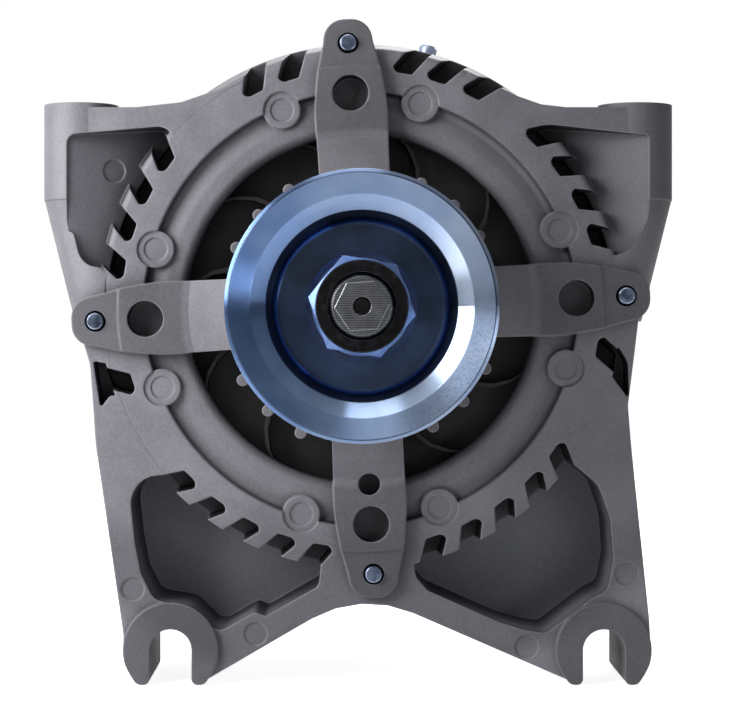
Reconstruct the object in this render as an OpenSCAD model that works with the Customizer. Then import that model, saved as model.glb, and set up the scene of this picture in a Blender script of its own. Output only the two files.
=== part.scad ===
// Automotive alternator with four mounting points: two U-slot lugs below, two tapped pads above.
// X is right and Z up for somebody who looks at the pulley, and Y runs along the shaft away from them.
// The origin is on the shaft axis in the middle plane of the belt grooves. Millimetres.

/* [Pulley and shaft] */
// Diameter over the pulley ribs
pulley_d = 63.5; // [60:0.5:66]
// Width of the pulley rim
pulley_w = 27; // [25:0.5:27.5]
// Number of belt grooves
belt_grooves = 6; // [4:1:6]
// Distance between belt grooves
groove_pitch = 3.56; // [3.4:0.02:3.7]
// Diameter of the recess mouth in the pulley face
recess_d = 44.6; // [42:0.2:47]
// Distance from the belt plane to the recess floor
recess_floor = 2; // [0:0.5:3]
// Nut size across flats
nut_af = 22; // [20:0.5:24]
// Height of the pulley nut
nut_h = 12; // [11:0.5:13]
// Diameter of the shaft thread
thread_d = 16; // [14:0.5:17]
// Diameter of the shaft in its bearings
shaft_d = 17; // [17:0.5:19]
// Size across flats of the hexagon stub on the shaft end
stub_af = 11; // [9:0.5:11.5]

/* [Bearings] */
// Outer diameter of the front bearing
bearing_d = 47; // [45:0.5:49]
// Width of the front bearing
bearing_w = 14; // [12:0.5:15]
// Ball diameter of the front bearing
ball_d = 8.73; // [7.5:0.1:9]
// Outer diameter of the rear bearing
rear_bearing_d = 40; // [38.5:0.5:42]
// Width of the rear bearing
rear_bearing_w = 12; // [11:0.5:12.5]
// Ball diameter of the rear bearing
rear_ball_d = 6.75; // [6:0.05:7]
// Number of balls in each bearing
balls = 8; // [6:1:8]

/* [Front housing] */
// Distance from the belt plane to the flange face
flange_y = 28; // [27:0.5:31]
// Radius of the can behind the flange
can_r = 64.6; // [64.2:0.1:65.2]
// Radius of the opening between the spokes
opening_r = 42.7; // [41:0.1:44]
// Radius of the recessed ring
ring_r = 53; // [52:0.1:54]
// Width of a spoke
arm_w = 18.1; // [16:0.1:20]
// Turn of the four spokes from the upright
arm_tilt = 2.75; // [0:0.25:4]
// Diameter of a through bolt
bolt_d = 5; // [4.4:0.1:5.2]
// Distance from the can's radius out to the bolt circle
bolt_out = 1.1; // [0.9:0.1:1.5]
// Width of a vent window
vent_w = 5.1; // [4.4:0.1:5.6]
// Lean of the vent windows from the radius
vent_lean = 33; // [25:1:36]
// Depth of the vent windows behind the flange face
vent_depth = 16; // [13:0.5:17]

/* [Mounting points] */
// Distance between the two upper tapped holes
horn_spacing = 139.4; // [138:0.2:143]
// Height of the upper pads over the shaft axis
pad_z = 51.2; // [50:0.1:53]
// Diameter of the upper pads
pad_d = 18.6; // [17:0.2:19.4]
// Core diameter of the upper tapped holes
tapped_d = 6.8; // [5:0.1:7.2]
// Depth of the upper tapped holes
tapped_depth = 22; // [16:1:24]
// Distance between the two lower slots
lug_spacing = 107.3; // [105:0.1:109]
// Distance of the lower slots under the shaft axis
lug_drop = 84.6; // [83:0.1:86]
// Width of the lower slots
slot_w = 10.4; // [9:0.1:11]
// Diameter of the lower lugs
lug_d = 23.6; // [22.8:0.1:24.4]
// Depth of the lower lugs along the shaft
lug_depth = 34; // [32:0.5:36]

/* [Stator and rotor] */
// Outer diameter of the stator core
core_d = 126; // [125:0.2:126.4]
// Length of the stator core
core_len = 32; // [28:1:34]
// Bore of the stator core
bore_d = 92.2; // [92:0.1:94]
// Diameter of the rotor over its claws
rotor_d = 91; // [89:0.5:91.2]
// Number of stator slots
slots = 36; // [30:6:42]
// Claws on each pole piece
claws = 6; // [5:1:7]
// Blades on each fan
fan_blades = 11; // [8:1:13]
// Turns of a brush spring
spring_turns = 5; // [3:1:6]

/* [Slip ring end] */
// Diameter of the slip rings
slip_ring_d = 15.2; // [14:0.1:16]
// Brush size along the shaft
brush_t = 5; // [4:0.1:5.4]
// Brush size across the shaft
brush_w = 6.4; // [5.4:0.1:7]
// Diameter of the rectifier diodes
diode_d = 12.7; // [10:0.1:13]
// Diameter of the output stud
output_d = 8; // [6:0.5:8.5]
// Diameter of the rear cover
cover_d = 120; // [118:0.5:122]
// Depth of the rear cover
cover_depth = 26; // [25.8:0.1:30]

/* [Hidden] */
$fn = 72;
// small assembly clearances: a seat, a running fit, a free gap
fit = 0.05;
gap = 0.3;
arms = [for (k = [0 : 3]) arm_tilt + 90 * k];
// stations along the shaft, front to back
pulley_front = -pulley_w / 2;
hub_y = flange_y - 12;
bearing_y = hub_y + 1.5;
bearing_end = bearing_y + bearing_w;
retainer_t = 2;
ring_back = flange_y + 6;
fan_t = 1.2;
pole_y = max(44, bearing_end + 12.5, ring_back + 10);
fan_front = pole_y - fan_t;
core_y = pole_y + 8;
core_end = core_y + core_len;
pole_end = pole_y + core_len + 16;
seat = 6;
front_end = core_y + seat;
rear_start = core_end - seat;
rear_wall = pole_end + 16;
ear_end = rear_wall + 0.5;
wall_t = 4;
rear_bearing_y = rear_wall + 2 - rear_bearing_w;
rear_bearing_end = rear_wall + 2;
ring_y = rear_bearing_end + 3;
ring_w = 6.5;
ring_step = 8.5;
shaft_end = rear_bearing_end + 20.5;
cover_end = rear_wall + cover_depth;
cover_t = 2.2;
// radii
shaft_r = shaft_d / 2;
core_r = core_d / 2;
// walls of the housings: round the core, and of the can in front of it
core_wall = 5;
can_wall = 4.6;
inner_r = can_r - can_wall;
shell_r = max(core_r, inner_r) + core_wall;
rotor_r = rotor_d / 2;
// through bolts, with the ears and the spoke ends round them
bolt_circle_r = can_r + bolt_out;
rim_r = max(can_r, shell_r);
ear_r = 5.3;
spoke_end_r = 5.9;
head_af = 8;
washer_r = 4.8;
tail_r = 5;
bush_r = 6.4;
slip_r = slip_ring_d / 2;
retainer_screw_r = bearing_d / 2 + 3.6;
fan_in_r = retainer_screw_r + 3.9;
pitch_r = (shaft_r + bearing_d / 2) / 2;
rear_pitch_r = (shaft_r + rear_bearing_d / 2) / 2;
coil_in = 20;
coil_out = 34;
// upper horns: the left one stands a little farther out than the right one
horn_left = -horn_spacing / 2 - 0.6;
horn_right = horn_spacing / 2 - 0.6;
horn_top = pad_z - 1.2;
horn_depth = 20;
// run and fall of the sloping web of a horn
web_run = 33;
web_fall = 15.3;
pad_y = flange_y - 0.4 + pad_d / 2;
// the boss of a tapped hole stands straight, and goes on below at a slant
boss_h = 24;
boss_foot = 30;
boss_lean = 14;
// lower lugs: the pair stands to the right of the shaft
lug_left = 6.55 - lug_spacing / 2;
lug_right = 6.55 + lug_spacing / 2;
lug_r = lug_d / 2;
lug_y = flange_y - 1.5;
lug_tip = 8.5;
leg_depth = 30;
leg_floor = 3;
side_recess = 11;
// angle of the leading corner of each vent window: at the top, over the webs, in and by the legs
top_vents = [66.3, 75.3, 83.5, 110.8, 119.9];
web_vents = [21.4, 30.4, 39.4, 48.3, 146.8, 155.9, 165.1, 174.2];
leg_vents = [201.6, 228.3, 237.4, 246.5, 255.6, 264.4, 291.6, 300.7, 309.8, 319, 327.7, 354.4];
vent_r = inner_r - 0.7;
// how much narrower a vent window gets with its depth, on each side
vent_draft = 0.6;
// the casting pads on the ring, and the marks that the ejector pins leave
ring_pad_r = 4.6;
ring_pad_turn = 18.9;
ring_pad_sink = 0.5;
mark_r = 2.9;
mark_depth = 0.3;
// rear electronics round the shaft: angle of each piece
rectifier_from = 150;
rectifier_to = 390;
diode_r = 41;
minus_angles = [168, 222, 318];
plus_angles = [195, 292, 345];
output_angle = 255;
output_r = 43;
cover_stud_angles = [135, 205, 335];
cover_stud_r = 50;
cover_stud_d = 5;
minus_t = 3;
plus_t = 3;
moulding_y = rear_wall + minus_t;
moulding_h = 6;
plus_y = moulding_y + moulding_h;
output_reach = 18;
output_end = cover_end + output_reach;
output_nut_end = cover_end + 9.5;
// the thread of the output stud is drawn at its core where the nut covers it
output_core_r = output_d / 2 - 0.4;
plate_r = cover_d / 2 - 4;
// regulator with its socket, above the shaft
regulator_z = 33;
regulator_left = -24;
regulator_right = 26;
regulator_top = 52;
regulator_end = rear_wall + 16;
socket = [14, 41];
socket_w = 20;
socket_h = 13;
socket_wall = 1.6;
socket_end = cover_end + 5;
// brush gear
holder_y = rear_bearing_end + 2;
holder_end = ring_y + ring_step + ring_w + 1;
holder_z = 9.6;
spring_z = 31;
brush_top = 20;
brush_gap = 0.3;
spring_r = 2;
harness_angle = 75.3;
harness_y = rear_start + 5;

// Outlines: each corner is [x, z, radius], and its arc is drawn between its neighbours.
function unit(v) = v / norm(v);
function flat(c) = [c[0], c[1]];
function turn(a) = a > 180 ? a - 360 : a < -180 ? a + 360 : a;
function heading(v) = atan2(v[1], v[0]);
function polar(p) = p[0] * [cos(p[1]), sin(p[1])];
function arc(o, r, a0, sweep) =
  let (n = max(2, ceil(abs(sweep) / 15)))
  [for (i = [0 : n]) o + r * [cos(a0 + sweep * i / n), sin(a0 + sweep * i / n)]];
function corner(a, b, c) =
  let (p = flat(b), u = unit(flat(a) - p), v = unit(flat(c) - p), half = acos(u * v) / 2,
       o = p + unit(u + v) * b[2] / sin(half), from = p + u * b[2] / tan(half) - o,
       to = p + v * b[2] / tan(half) - o)
  arc(o, b[2], heading(from), turn(heading(to) - heading(from)));
function rounded(c) =
  let (n = len(c))
  [for (i = [0 : n - 1]) each c[i][2] == 0 ? [flat(c[i])]
    : corner(c[(i + n - 1) % n], c[i], c[(i + 1) % n])];

// flat outline in X and Z, extruded from y0 to y1
module slab(y0, y1) {
  translate([0, y1, 0])
    rotate([90, 0, 0])
      linear_extrude(y1 - y0)
        children();
}
// profile in radius and Y, turned round the shaft axis
module turned() {
  rotate([-90, 0, 0])
    rotate_extrude()
      children();
}
// the same through part of a turn, between two angles
module sector(a0, a1) {
  rotate([0, -a1, 0])
    rotate([-90, 0, 0])
      rotate_extrude(angle = a1 - a0)
        children();
}
module spin(a) {
  rotate([0, -a, 0])
    children();
}
module post(r, y0, y1) {
  slab(y0, y1)
    circle(r);
}
module tube(r0, r1, y0, y1) {
  slab(y0, y1)
    difference() {
      circle(r1);
      circle(r0);
    }
}
module at(r, a) {
  translate([r * cos(a), 0, r * sin(a)])
    children();
}
module hexagon(af, y0, y1, turned_by = 0) {
  translate([0, y1, 0])
    rotate([90, turned_by, 0])
      cylinder(d = af / cos(30), h = y1 - y0, $fn = 6);
}

// ---- front housing
module can_front() {
  turned()
    polygon(rounded([[opening_r, flange_y + 1.6, 2.5], [ring_r - 4.5, flange_y + 1.6, 5],
      [ring_r, flange_y + 2.8, 1.4], [ring_r + 0.9, flange_y, 0.6], [can_r, flange_y, 1.8],
      [shell_r, flange_y + vent_depth + 2, 4], [shell_r, front_end, 0],
      [core_r + fit, front_end, 0], [core_r + fit, core_y, 0], [inner_r + 1.6, core_y, 0],
      [inner_r, core_y - 5, 0], [inner_r, ring_back, 1.5], [inner_r - 4, ring_back - 1, 0],
      [opening_r + 1, ring_back, 0.6]]));
}
module spoke(a) {
  half = arm_w / 2;
  tip = bolt_circle_r;
  root = bearing_d / 2 + 0.5;
  step = can_r - 4.6;
  spin(a)
    intersection() {
      slab(hub_y, ring_back)
        polygon(rounded([[root, -half + 0.6, 0], [ring_r - 3, -half, 30], [ring_r + 6, 1.2 - half, 10],
          [tip, -spoke_end_r - 0.3, 6], [tip + spoke_end_r, 0.5 - spoke_end_r, spoke_end_r - 0.8],
          [tip + spoke_end_r, spoke_end_r - 0.5, spoke_end_r - 0.8], [tip, spoke_end_r + 0.3, 6],
          [ring_r + 6, half - 1.2, 10], [ring_r - 3, half, 30], [root, half - 0.6, 0]]));
      turned()
        polygon([[root, hub_y + 1], [root + 6, hub_y + 1], [opening_r - 5, flange_y - 6.5],
          [opening_r - 0.3, flange_y - 3], [step, flange_y - 3], [step + 0.2, flange_y - 2.4],
          [tip + 8, flange_y - 2], [tip + 8, ring_back], [opening_r, ring_back],
          [opening_r - 8, bearing_end], [root, bearing_end]]);
    }
}
// blind holes in each spoke, for the puller and for the casting
module spoke_holes() {
  for (a = arms) {
    at(ring_r + 0.3, a)
      post(4.45, hub_y, ring_back - 1.6);
    if (a > 200)
      at(opening_r + 0.7, a)
        post(2.7, hub_y, ring_back - 1.6);
  }
}
module bearing_hub() {
  r = bearing_d / 2;
  turned()
    polygon([[r - 4.5, hub_y], [r + 3, hub_y], [r + 6.5, hub_y + 3], [r + 7.5, hub_y + 8],
      [r + 7.5, bearing_end], [r, bearing_end], [r, bearing_y], [r - 4.5, bearing_y]]);
}
module hub_fins() {
  for (a = arms, k = [-1 : 1])
    spin(a + 45 + 16.4 * k)
      slab(hub_y + 4, bearing_end)
        polygon(rounded([[bearing_d / 2 + 5, -1.45, 0], [bearing_d / 2 + 11.8, -1.45, 1.4],
          [bearing_d / 2 + 11.8, 1.45, 1.4], [bearing_d / 2 + 5, 1.45, 0]]));
}
module horn(x, outline, front_pocket, rear_pocket) {
  r = pad_d / 2;
  difference() {
    union() {
      difference() {
        slab(flange_y, flange_y + horn_depth)
          polygon(rounded(outline));
        // ribbed back, behind the sloping web
        intersection() {
          slab(flange_y, flange_y + horn_depth + 1)
            polygon(rounded(rear_pocket));
          horn_slope(x, 4, horn_depth + 2);
        }
      }
      // boss of the tapped hole, on a foot that slants to the spoke
      translate([x, pad_y, pad_z - boss_h]) {
        cylinder(r = r, h = boss_h);
        translate([0, 0, 1])
          rotate([0, sign(x) * boss_lean, 0])
            translate([0, 0, -boss_foot])
              cylinder(r = r - 0.2, h = boss_foot + 1.5);
      }
    }
    // the web slopes back from the boss to the can
    intersection() {
      slab(flange_y - 1, flange_y + horn_depth)
        polygon(rounded(front_pocket));
      horn_slope(x, -2 * horn_depth, 0);
    }
  }
}
// slab between two planes that run with the sloping web of a horn
module horn_slope(x, from, to) {
  near = x + 3 * sign(x);
  far = x - web_run * sign(x) + 3 * sign(x);
  start = flange_y + (x < 0 ? 0.7 : 0.1);
  translate([0, 0, -20])
    linear_extrude(pad_z + 40)
      polygon([[near, start + from], [near, start + to],
        [far, start + web_fall + to], [far, start + web_fall + from]]);
}
module left_horn() {
  x = horn_left;
  horn(x,
    [[-24, 59.6, 0], [-44.4, horn_top, 50], [x - 0.8, horn_top, 0], [x - 0.8, 22, 0],
     [x + 6, -2, 0], [-50, -8, 0], [-30, 30, 0]],
    [[x - 2.6, horn_top - 6.8, 2.5], [-48, horn_top - 4.6, 4], [-42, 34, 0], [-54, 2, 0],
     [-60, 5.8, 1], [-64.3, 10.2, 3], [-69.3, 10.7, 5], [-71.2, 18.7, 1.2], [x - 2.6, 19.4, 1.2]],
    [[x - 5, horn_top - 4, 2], [-47, horn_top - 4, 4], [-42, 34, 0], [-54, 2, 0],
     [-67, 3.5, 3], [x - 5, 24, 12]]);
}
module right_horn() {
  x = horn_right;
  horn(x,
    [[26.5, 58.7, 0], [30, 30, 0], [50, -3, 0], [x - 6, -2, 0], [x + 0.8, 22, 0],
     [x + 0.8, horn_top, 0], [44.6, horn_top, 28]],
    [[x + 2.4, horn_top - 7, 1.2], [47, horn_top - 4.3, 8], [41.2, horn_top - 5, 1.2],
     [40, 30, 0], [54, 10, 0], [61.2, 12.9, 2], [66.8, 14, 5], [x + 2.4, 23, 6]],
    [[x + 4.6, horn_top - 4, 2], [x + 4.6, 25, 12], [64.5, 6, 3], [54, 5, 0], [40, 30, 0],
     [44, horn_top - 4, 3]]);
}
module legs() {
  z = -lug_drop;
  slab(flange_y, flange_y + leg_depth)
    polygon(rounded([[-50, -6, 0], [-69.4, -6.4, 1.5], [-67.1, -14, 8], [-65.7, -34, 40],
      [lug_left - lug_r, z + 4, 0], [lug_left - lug_r, z, 0], [lug_left, z - 3, 0],
      [lug_left + 8.6, z - 7.6, 1.5], [0, -69.9, 28], [lug_right - 8.6, z - 7.6, 1.5],
      [lug_right, z - 3, 0], [lug_right + lug_r, z, 0], [lug_right + lug_r - 0.5, z + 8, 12],
      [67, -33, 20], [66.3, -24, 4], [69, -2, 0], [50, 0, 0]]));
}
module leg_pockets() {
  z = -lug_drop;
  left = [[-48, -41.3, 3], [-57.8, -41.3, 7], [-56.1, -58, 5], [-54.6, z + 19, 2.5],
    [lug_left - 4.2, z + 12.2, 4], [lug_left + 5, z + 10.8, 5], [lug_left + 11.7, z + 4.2, 3],
    [-26.3, -75.2, 1.5], [-23.6, -76.3, 1], [-10.4, -68.8, 2], [-9.9, -64, 1], [0, -50, 0],
    [-30, -35, 0]];
  right = [[50, -36.4, 3], [30, -30, 0], [12, -52, 0], [13.6, -66.5, 3], [16.5, -69.9, 2],
    [34.6, -77.9, 1.5], [40.6, -79.7, 3], [46, z + 4, 3], [lug_right - 3, z + 12.6, 5],
    [lug_right + 1, z + 14.6, 3], [62.7, -62.2, 2.5], [61.9, -52, 10], [58.8, -43.5, 6]];
  difference() {
    slab(flange_y - 1, flange_y + leg_depth - leg_floor) {
      polygon(rounded(left));
      polygon(rounded(right));
    }
    post(can_r, flange_y - 2, flange_y + leg_depth);
  }
  // small recesses beside the side spokes
  difference() {
    slab(flange_y - 1, flange_y + side_recess) {
      polygon(rounded([[-66.4, -12.9, 0.6], [-64.6, -24.8, 0.5], [-62.2, -21.6, 1.5],
        [-58, -21.4, 0], [-56, -15, 0]]));
      polygon(rounded([[58, -6, 0], [62, -6.4, 2], [66.3, -13.1, 5], [66.6, -22.6, 0.4],
        [58, -11, 0]]));
    }
    post(can_r, flange_y - 2, flange_y + leg_depth);
  }
}
module lugs() {
  z = -lug_drop;
  for (x = [lug_left, lug_right])
    translate([x, 0, z])
      slab(lug_y, lug_y + lug_depth) {
        difference() {
          circle(lug_r);
          translate([-2 * lug_r, -4 * lug_r - 4])
            square(4 * lug_r);
        }
        polygon(rounded([[-lug_r, 0, 0], [-lug_r + 0.7, -4.4, 9], [-8.4, -lug_tip, 2],
          [8.4, -lug_tip, 2], [lug_r - 0.7, -4.4, 9], [lug_r, 0, 0]]));
      }
}
// slot from below, with rounded lips at its mouth
module lug_slots() {
  half = slot_w / 2;
  for (x = [lug_left, lug_right])
    translate([x, 0, -lug_drop])
      slab(lug_y - 1, lug_y + lug_depth + 1) {
        circle(half);
        polygon(rounded([[-half, 0, 0], [-half, -lug_tip, 1.5], [-lug_r, -lug_tip - 0.1, 0],
          [-lug_r, -2 * lug_tip, 0], [lug_r, -2 * lug_tip, 0], [lug_r, -lug_tip - 0.1, 0],
          [half, -lug_tip, 1.5], [half, 0, 0]]));
      }
}
// swept windows in the can, open towards the rim and narrower towards their back
module vent_windows(angles, reach) {
  // at the flange, half a window's width along the rim and across the window
  half = vent_w / 2 / cos(vent_lean) + 0.3;
  w = vent_w / 2;
  lean = reach * tan(vent_lean);
  back = flange_y + vent_depth;
  for (a = angles)
    spin(a - asin(vent_w / 2 / cos(vent_lean) / vent_r))
      intersection() {
        slab(flange_y - 1, back)
          polygon(rounded([[vent_r, -half, 1.6], [vent_r + reach, -half - lean, 0],
            [vent_r + reach, half - lean, 0], [vent_r, half, 1.7]]));
        translate([vent_r, 0, 0])
          spin(-vent_lean)
            translate([-2 * w, 0, 0])
              rotate([90, 0, 90])
                linear_extrude(2 * w + 2 * reach)
                  polygon([[flange_y - 1.2, -w], [back + 1, vent_draft - w],
                    [back + 1, w - vent_draft], [flange_y - 1.2, w]]);
      }
}
// shallow round marks of the ejector pins on the pads, the flange, a spoke and the left web
module pin_marks() {
  for (a = arms, s = [-1, 1])
    at(ring_r, a + ring_pad_turn * s)
      post(mark_r, flange_y - 1, flange_y + ring_pad_sink + mark_depth);
  for (c = [[-56.6, -69.6], [-26.1, -80.7], [65.9, -65.7], [41.1, -83.9]])
    translate([c[0], 0, c[1]])
      post(mark_r, flange_y - 1, flange_y + mark_depth);
  // on the left web, square to its slope
  translate([horn_left + 8.6, flange_y + 0.7 + 11.6 / web_run * web_fall, 34.6])
    rotate([90, 0, atan(web_fall / web_run)])
      cylinder(r = mark_r, h = 2 * mark_depth, center = true);
}
module front_housing() {
  color("silver")
  difference() {
    union() {
      difference() {
        union() {
          difference() {
            can_front();
            vent_windows(web_vents, rim_r + 1 - vent_r);
          }
          difference() {
            union() {
              left_horn();
              right_horn();
              legs();
            }
            post(can_r - 1, flange_y - 1, flange_y + leg_depth + 5);
          }
          lugs();
        }
        leg_pockets();
        vent_windows(top_vents, rim_r + 1 - vent_r);
        vent_windows(leg_vents, can_r + 1 - vent_r);
        // sunk round pads on the ring, two beside each spoke
        for (a = arms, s = [-1, 1])
          at(ring_r, a + ring_pad_turn * s)
            post(ring_pad_r, flange_y - 1, flange_y + ring_pad_sink);
      }
      for (a = arms, s = [-1, 1])
        at(ring_r, a + ring_pad_turn * s)
          post(ring_pad_r, flange_y + ring_pad_sink, flange_y + 4);
      for (a = arms)
        at(bolt_circle_r, a)
          post(ear_r, flange_y, front_end);
      for (a = arms)
        spoke(a);
      bearing_hub();
      hub_fins();
    }
    pin_marks();
    spoke_holes();
    lug_slots();
    post(core_r + fit, core_y, front_end + 1);
    for (a = arms)
      at(bolt_circle_r, a)
        post(bolt_d / 2 + 0.1, flange_y - 4, front_end + 1);
    for (x = [horn_left, horn_right])
      translate([x, pad_y, pad_z - tapped_depth])
        cylinder(d = tapped_d, h = tapped_depth + 1);
    for (k = [0 : 3])
      at(retainer_screw_r, 45 + 90 * k)
        post(2, bearing_end - 8, bearing_end + 1);
  }
}

// ---- pulley, nut and shaft
module pulley() {
  r = pulley_d / 2;
  deep = 2.7;
  rear = pulley_front + pulley_w - 0.5;
  first = -(belt_grooves - 1) / 2 * groove_pitch;
  color("lightsteelblue")
  turned()
    polygon(concat(
      rounded([[shaft_r, recess_floor + 12.5, 0], [shaft_r, recess_floor, 0],
        [recess_d / 2 - 1.6, recess_floor, 1.5], [recess_d / 2, pulley_front + 3, 0],
        [recess_d / 2 + 3.5, pulley_front, 0.3], [r - 0.6, pulley_front + 0.4, 0.2]]),
      [[r, pulley_front + 1]],
      [for (i = [0 : belt_grooves - 1]) let (y = first + i * groove_pitch)
        each [[r, y - 1.45], [r - deep, y - 0.45], [r - deep, y + 0.45], [r, y + 1.45]]],
      [[r, rear - 0.6]],
      rounded([[r - 0.6, rear, 0], [r - 5, rear, 0.5], [r - 6.5, recess_floor + 4.5, 2],
        [shaft_r + 5, recess_floor + 4, 2], [shaft_r + 3.7, recess_floor + 12.5, 0.5]])));
}
module pulley_nut() {
  top = recess_floor - nut_h;
  r = nut_af / 2;
  color("dimgray")
  difference() {
    union() {
      intersection() {
        hexagon(nut_af, top - 1, recess_floor, 9.7);
        turned()
          polygon([[0, top], [r - 0.4, top], [r + 2.6, top + 2],
            [r + 2.6, recess_floor - 1], [0, recess_floor - 1]]);
      }
      turned()
        polygon([[0, recess_floor - 2], [r + 0.6, recess_floor - 2], [r + 2.15, recess_floor - 0.8],
          [r + 2.15, recess_floor], [0, recess_floor]]);
    }
    post(thread_d / 2, top - 1, recess_floor + 1);
  }
}
module rotor_shaft() {
  r = thread_d / 2;
  top = recess_floor - nut_h;
  color("gray")
  difference() {
    union() {
      turned()
        polygon([[0, top - 1.3], [r - 1.2, top - 1.3], [r, top - 0.1], [r, recess_floor],
          [shaft_r, recess_floor], [shaft_r, rear_bearing_end], [tail_r + 1, rear_bearing_end],
          [tail_r, rear_bearing_end + 1], [tail_r, shaft_end - 0.5], [tail_r - 0.5, shaft_end],
          [0, shaft_end]]);
      hexagon(stub_af, top - 3.3, top, -4);
    }
    post(2.15, top - 4, top + 14);
    post(1.5, shaft_end - 6, shaft_end + 1);
  }
}
module pulley_spacer() {
  color("silver")
  tube(shaft_r, shaft_r + 3.5, recess_floor + 12.5, bearing_y);
}
module rotor_spacer() {
  color("silver")
  tube(shaft_r, shaft_r + 3.5, bearing_end, pole_y);
}
module rear_spacer() {
  color("silver")
  tube(shaft_r, shaft_r + 3.5, pole_end, rear_bearing_y);
}

// ---- ball bearings
module outer_race(od, ring_pitch, ball, y, w) {
  lip = ring_pitch + ball * 0.42;
  difference() {
    tube(lip, od / 2, y, y + w);
    turned()
      translate([ring_pitch, y + w / 2])
        circle(ball / 2 + fit);
  }
}
module inner_race(ring_pitch, ball, y, w) {
  lip = ring_pitch - ball * 0.42;
  difference() {
    tube(shaft_r, lip, y, y + w);
    turned()
      translate([ring_pitch, y + w / 2])
        circle(ball / 2 + fit);
  }
}
module ball_set(ring_pitch, ball, y, w) {
  for (k = [0 : balls - 1])
    at(ring_pitch, 360 / balls * k)
      translate([0, y + w / 2, 0])
        sphere(d = ball);
}
module ball_cage(ring_pitch, ball, y, w) {
  difference() {
    tube(ring_pitch - 1.1, ring_pitch + 1.1, y + w / 2 - ball * 0.57, y + w / 2 + ball * 0.57);
    for (k = [0 : balls - 1])
      spin(360 / balls * k)
        translate([ring_pitch - 3, y + w / 2, 0])
          rotate([0, 90, 0])
            cylinder(r = ball / 2 + 0.08, h = 6);
  }
}
module seal_pair(ring_pitch, ball, y, w) {
  for (s = [y + 0.4, y + w - 1.1])
    tube(ring_pitch - ball * 0.42 + gap, ring_pitch + ball * 0.42, s, s + 0.7);
}
module front_bearing_outer() {
  color("lightgray")
  outer_race(bearing_d, pitch_r, ball_d, bearing_y, bearing_w);
}
module front_bearing_inner() {
  color("lightgray")
  inner_race(pitch_r, ball_d, bearing_y, bearing_w);
}
module front_bearing_balls() {
  color("white")
  ball_set(pitch_r, ball_d, bearing_y, bearing_w);
}
module front_bearing_cage() {
  color("darkgray")
  ball_cage(pitch_r, ball_d, bearing_y, bearing_w);
}
module front_bearing_seals() {
  color("black")
  seal_pair(pitch_r, ball_d, bearing_y, bearing_w);
}
module rear_bearing_outer() {
  color("lightgray")
  outer_race(rear_bearing_d, rear_pitch_r, rear_ball_d, rear_bearing_y, rear_bearing_w);
}
module rear_bearing_inner() {
  color("lightgray")
  inner_race(rear_pitch_r, rear_ball_d, rear_bearing_y, rear_bearing_w);
}
module rear_bearing_balls() {
  color("white")
  ball_set(rear_pitch_r, rear_ball_d, rear_bearing_y, rear_bearing_w);
}
module rear_bearing_cage() {
  color("darkgray")
  ball_cage(rear_pitch_r, rear_ball_d, rear_bearing_y, rear_bearing_w);
}
module rear_bearing_seals() {
  color("black")
  seal_pair(rear_pitch_r, rear_ball_d, rear_bearing_y, rear_bearing_w);
}
module retainer_plate() {
  color("silver")
  slab(bearing_end, bearing_end + retainer_t)
    difference() {
      circle(bearing_d / 2 + 6.8);
      circle(bearing_d / 2 - 5.5);
      for (k = [0 : 3])
        rotate(45 + 90 * k)
          translate([retainer_screw_r, 0])
            circle(2.1);
    }
}
module retainer_screws() {
  color("gray")
  for (k = [0 : 3])
    at(retainer_screw_r, 45 + 90 * k) {
      post(1.95, bearing_end - 7.5, bearing_end + retainer_t);
      post(3.1, bearing_end + retainer_t, bearing_end + retainer_t + 1.8);
    }
}

// ---- rotor
// one finger of a claw pole: a wedge cut from a turned ring, root at y = 0, tip at y = length
module claw(length) {
  root = rotor_r * sin(180 / claws) * 0.52;
  intersection() {
    turned()
      polygon([[coil_out - 2, 0], [rotor_r - 1.5, 0], [rotor_r, 2], [rotor_r, length - 2],
        [rotor_r - 1, length], [rotor_r - 4.4, length], [coil_out + 1, 12], [coil_out - 2, 12]]);
    rotate([0, 90, 0])
      linear_extrude(rotor_r + 5)
        polygon([[-root, -1], [root, -1], [root, 10], [root * 0.36, length + 1],
          [-root * 0.36, length + 1], [-root, 10]]);
  }
}
module claw_pole() {
  length = core_len + 14;
  difference() {
    union() {
      slab(0, 12)
        circle(coil_out);
      for (k = [0 : claws - 1])
        spin(360 / claws * k)
          claw(length);
      post(coil_in - gap, 12, pole_half());
    }
    post(shaft_r, -1, pole_half() + 1);
  }
}
function pole_half() = (pole_end - pole_y) / 2;
module front_claw_pole() {
  color("dimgray")
  translate([0, pole_y, 0])
    claw_pole();
}
module rear_claw_pole() {
  color("dimgray")
  translate([0, pole_end, 0])
    rotate([0, 180 / claws, 0])
      mirror([0, 1, 0])
        claw_pole();
}
module coil_bobbin() {
  y0 = pole_y + 12;
  y1 = pole_end - 12;
  color("black")
  turned()
    polygon([[coil_in, y0], [coil_out, y0], [coil_out, y0 + 1.2], [coil_in + 1.4, y0 + 1.2],
      [coil_in + 1.4, y1 - 1.2], [coil_out, y1 - 1.2], [coil_out, y1], [coil_in, y1]]);
}
module field_coil() {
  color("sienna")
  tube(coil_in + 1.4, coil_out - 0.6, pole_y + 13.2, pole_end - 13.2);
}
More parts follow.
